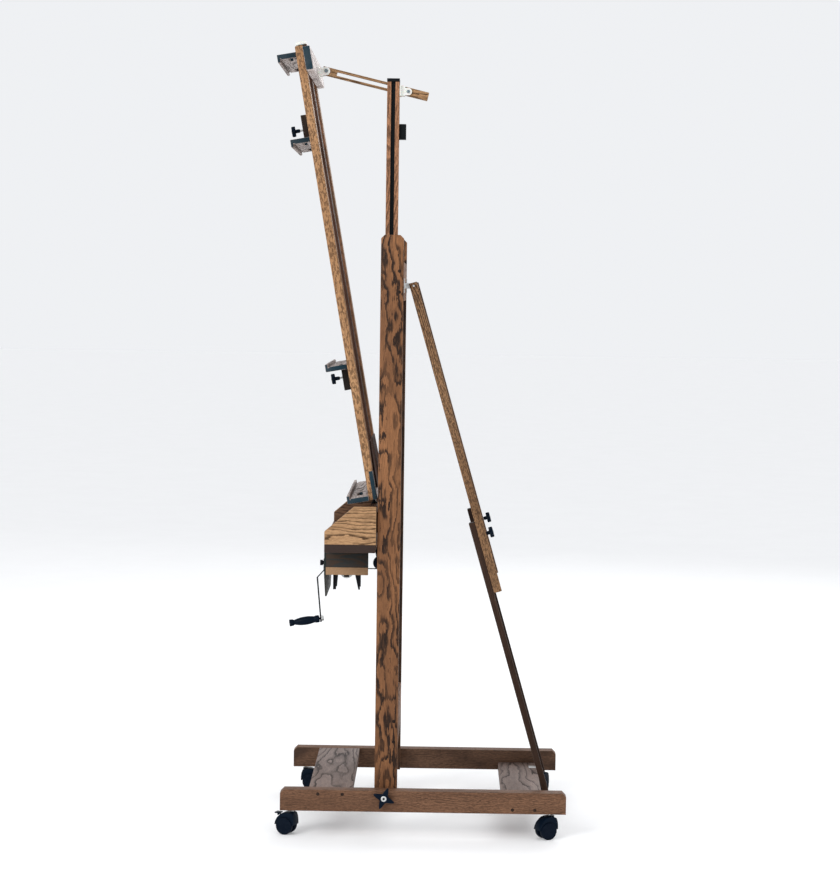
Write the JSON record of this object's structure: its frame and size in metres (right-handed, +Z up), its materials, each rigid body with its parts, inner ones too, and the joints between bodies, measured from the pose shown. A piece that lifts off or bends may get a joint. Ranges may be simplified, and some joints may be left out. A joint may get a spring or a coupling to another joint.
{
  "type": "h frame easel",
  "caption": "Wheeled oak H-frame studio easel with a crank-lifted tray, a forward-leaning canvas frame and sliding canvas holders.",
  "frame": {"origin": "on the floor below the middle of the easel's width and of its whole depth", "axes": "+X to the right as seen from the front, +Y from the canvas side to the rear legs, +Z up"},
  "size_m": [0.7316, 0.8902, 2.3787],
  "materials": {
    "red_oak": "satin stained oak",
    "brown_oak": "satin stained oak",
    "golden_oak": "satin oiled oak",
    "dark_oak": "satin dark-stained oak",
    "black_plastic": "satin moulded",
    "white_nylon": "semi-matt",
    "zinc_steel": "zinc plated",
    "cable_steel": "stranded"
  },
  "bodies": {
    "base": {"runner_right": "brown_oak", "runner_left": "brown_oak", "front_board": "brown_oak", "rear_board": "brown_oak", "base_hardware": "zinc_steel"},
    "h_frame": {"post_right": "red_oak", "post_left": "red_oak", "crossbars": "red_oak", "frame_hardware": "zinc_steel"},
    "carriage": {"tray_ends": "golden_oak", "tray_boards": "golden_oak", "winch_box_sides": "dark_oak", "winch_box_bottom": "golden_oak", "winch_front_panel": "dark_oak", "winch_frame": "zinc_steel", "lift_cable": "cable_steel", "mast_rails": "golden_oak", "mast_fittings": "black_plastic", "carriage_shoes": "black_plastic", "link_clevis": "white_nylon", "tray_hinges": "zinc_steel"},
    "canvas_frame": {"upright_right": "golden_oak", "upright_left": "golden_oak", "canvas_mast": "golden_oak", "top_board": "golden_oak", "bottom_board": "golden_oak", "gusset_plate": "golden_oak", "fixed_ledges": "golden_oak", "tilt_bracket": "white_nylon", "mast_dome": "white_nylon", "frame_hinges": "zinc_steel"},
    "tilt_link": {"tilt_link": "golden_oak"},
    "upper_holder": {"upper_holder_ledge": "golden_oak", "upper_holder_block": "golden_oak"},
    "upper_knob": {"upper_holder_knob": "black_plastic"},
    "lower_holder": {"lower_holder_ledge": "golden_oak", "lower_holder_block": "golden_oak"},
    "lower_knob": {"lower_holder_knob": "black_plastic"},
    "cable_pulley": {"cable_pulley": "black_plastic"},
    "winch_drum": {"winch_drum": "zinc_steel"},
    "crank": {"crank": "zinc_steel"},
    "crank_grip": {"crank_grip": "black_plastic"},
    "pivot_knob_right": {"pivot_knob_right": "black_plastic"},
    "rear_leg_right": {"rear_leg_right": "golden_oak"},
    "leg_extension_right": {"leg_extension_right": "dark_oak"},
    "leg_knob_right": {"leg_knob_right": "black_plastic"},
    "pivot_knob_left": {"pivot_knob_left": "black_plastic"},
    "rear_leg_left": {"rear_leg_left": "golden_oak"},
    "leg_extension_left": {"leg_extension_left": "dark_oak"},
    "leg_knob_left": {"leg_knob_left": "black_plastic"},
    "caster_front_right": {"caster_fork_front_right": "black_plastic"},
    "wheels_front_right": {"caster_wheels_front_right": "black_plastic"},
    "brake_front_right": {"brake_lever_front_right": "black_plastic"},
    "caster_front_left": {"caster_fork_front_left": "black_plastic"},
    "wheels_front_left": {"caster_wheels_front_left": "black_plastic"},
    "brake_front_left": {"brake_lever_front_left": "black_plastic"},
    "caster_rear_right": {"caster_fork_rear_right": "black_plastic"},
    "wheels_rear_right": {"caster_wheels_rear_right": "black_plastic"},
    "caster_rear_left": {"caster_fork_rear_left": "black_plastic"},
    "wheels_rear_left": {"caster_wheels_rear_left": "black_plastic"}
  },
  "joints": [
    {"name": "frame_tilt", "type": "hinge", "parent": "base", "child": "h_frame", "pos_m": [0, -0.096, 0.12], "axis": [1, 0, 0], "range_deg": [-5, 4]},
    {"name": "pivot_knob_right_turn", "type": "hinge", "parent": "base", "child": "pivot_knob_right", "pos_m": [0.3428, -0.096, 0.12], "axis": [1, 0, 0], "range_deg": [-180, 180]},
    {"name": "leg_right_pivot", "type": "hinge", "parent": "h_frame", "child": "rear_leg_right", "pos_m": [0.228, -0.029, 1.637], "axis": [1, 0, 0], "range_deg": [-0.5, 0.5]},
    {"name": "leg_right_length", "type": "slide", "parent": "rear_leg_right", "child": "leg_extension_right", "axis": [0, 0.279, -0.9603], "range_m": [-0.041, 0.033]},
    {"name": "leg_knob_right_turn", "type": "hinge", "parent": "rear_leg_right", "child": "leg_knob_right", "pos_m": [0.228, 0.19791, 0.90004], "axis": [0, 0.9603, 0.279], "range_deg": [-180, 180]},
    {"name": "pivot_knob_left_turn", "type": "hinge", "parent": "base", "child": "pivot_knob_left", "pos_m": [-0.3428, -0.096, 0.12], "axis": [-1, 0, 0], "range_deg": [-180, 180]},
    {"name": "leg_left_pivot", "type": "hinge", "parent": "h_frame", "child": "rear_leg_left", "pos_m": [-0.228, -0.029, 1.637], "axis": [1, 0, 0], "range_deg": [-0.5, 0.5]},
    {"name": "leg_left_length", "type": "slide", "parent": "rear_leg_left", "child": "leg_extension_left", "axis": [0, 0.279, -0.9603], "range_m": [-0.041, 0.033]},
    {"name": "leg_knob_left_turn", "type": "hinge", "parent": "rear_leg_left", "child": "leg_knob_left", "pos_m": [-0.228, 0.19791, 0.90004], "axis": [0, 0.9603, 0.279], "range_deg": [-180, 180]},
    {"name": "lift", "type": "slide", "parent": "h_frame", "child": "carriage", "axis": [0, 0, 1], "range_m": [-0.189, 0.315]},
    {"name": "crank_turn", "type": "hinge", "parent": "carriage", "child": "crank", "pos_m": [0.016, -0.297, 0.78], "axis": [0, 1, 0], "range_deg": [-5820, 9700]},
    {"name": "drum_turn", "type": "hinge", "parent": "carriage", "child": "winch_drum", "pos_m": [0, -0.227, 0.752], "axis": [1, 0, 0], "range_deg": [-1165, 1941]},
    {"name": "pulley_turn", "type": "hinge", "parent": "carriage", "child": "cable_pulley", "pos_m": [0, -0.1255, 0.78], "axis": [1, 0, 0], "range_deg": [-967, 581]},
    {"name": "grip_spin", "type": "hinge", "parent": "crank", "child": "crank_grip", "pos_m": [0.016, -0.306, 0.606], "axis": [0, -0.9863, -0.165], "continuous": true},
    {"name": "canvas_tilt", "type": "hinge", "parent": "carriage", "child": "canvas_frame", "pos_m": [0, -0.13899, 0.98795], "axis": [1, 0, 0], "range_deg": [-7, 0]},
    {"name": "link_swing", "type": "hinge", "parent": "canvas_frame", "child": "tilt_link", "pos_m": [0, -0.30753, 2.28814], "axis": [1, 0, 0], "range_deg": [-17.2, 0]},
    {"name": "upper_holder_slide", "type": "slide", "parent": "canvas_frame", "child": "upper_holder", "axis": [0, -0.1736, 0.9848], "range_m": [-0.3, 0.12]},
    {"name": "lower_holder_slide", "type": "slide", "parent": "canvas_frame", "child": "lower_holder", "axis": [0, -0.1736, 0.9848], "range_m": [-0.25, 0.25]},
    {"name": "upper_knob_turn", "type": "hinge", "parent": "upper_holder", "child": "upper_knob", "pos_m": [0, -0.38622, 2.10672], "axis": [0, -0.9848, -0.1736], "range_deg": [-180, 180]},
    {"name": "lower_knob_turn", "type": "hinge", "parent": "lower_holder", "child": "lower_knob", "pos_m": [0, -0.25599, 1.35085], "axis": [0, -0.9848, -0.1736], "range_deg": [-180, 180]},
    {"name": "swivel_front_right", "type": "hinge", "parent": "base", "child": "caster_front_right", "pos_m": [0.32, -0.368, 0.069], "axis": [0, 0, 1], "continuous": true},
    {"name": "roll_front_right", "type": "hinge", "parent": "caster_front_right", "child": "wheels_front_right", "pos_m": [0.31251, -0.38654, 0.026], "axis": [0.9272, -0.3746, 0], "continuous": true},
    {"name": "brake_front_right_press", "type": "hinge", "parent": "caster_front_right", "child": "brake_front_right", "pos_m": [0.30651, -0.40138, 0.06], "axis": [0.9272, -0.3746, 0], "range_deg": [0, 10]},
    {"name": "swivel_front_left", "type": "hinge", "parent": "base", "child": "caster_front_left", "pos_m": [-0.32, -0.368, 0.069], "axis": [0, 0, 1], "continuous": true},
    {"name": "roll_front_left", "type": "hinge", "parent": "caster_front_left", "child": "wheels_front_left", "pos_m": [-0.31722, -0.34819, 0.026], "axis": [-0.9903, 0.1392, 0], "continuous": true},
    {"name": "brake_front_left_press", "type": "hinge", "parent": "caster_front_left", "child": "brake_front_left", "pos_m": [-0.31499, -0.33235, 0.06], "axis": [-0.9903, 0.1392, 0], "range_deg": [0, 10]},
    {"name": "swivel_rear_right", "type": "hinge", "parent": "base", "child": "caster_rear_right", "pos_m": [0.32, 0.405, 0.069], "axis": [0, 0, 1], "continuous": true},
    {"name": "roll_rear_right", "type": "hinge", "parent": "caster_rear_right", "child": "wheels_rear_right", "pos_m": [0.32939, 0.38734, 0.026], "axis": [0.8829, 0.4695, 0], "continuous": true},
    {"name": "swivel_rear_left", "type": "hinge", "parent": "base", "child": "caster_rear_left", "pos_m": [-0.32, 0.405, 0.069], "axis": [0, 0, 1], "continuous": true},
    {"name": "roll_rear_left", "type": "hinge", "parent": "caster_rear_left", "child": "wheels_rear_left", "pos_m": [-0.30304, 0.3944, 0.026], "axis": [0.5299, 0.848, 0], "continuous": true}
  ],
  "couplings": [
    {"joint": "leg_right_pivot", "follows": "frame_tilt", "ratio": -0.0939},
    {"joint": "leg_right_length", "follows": "frame_tilt", "m_per_rad": 0.4563},
    {"joint": "leg_left_pivot", "follows": "frame_tilt", "ratio": -0.0939},
    {"joint": "leg_left_length", "follows": "frame_tilt", "m_per_rad": 0.4563},
    {"joint": "lift", "follows": "crank_turn", "m_per_rad": 0.00186},
    {"joint": "drum_turn", "follows": "crank_turn", "ratio": 0.2},
    {"joint": "pulley_turn", "follows": "crank_turn", "ratio": -0.099465},
    {"joint": "link_swing", "follows": "canvas_tilt", "ratio": 2.4539}
  ]
}
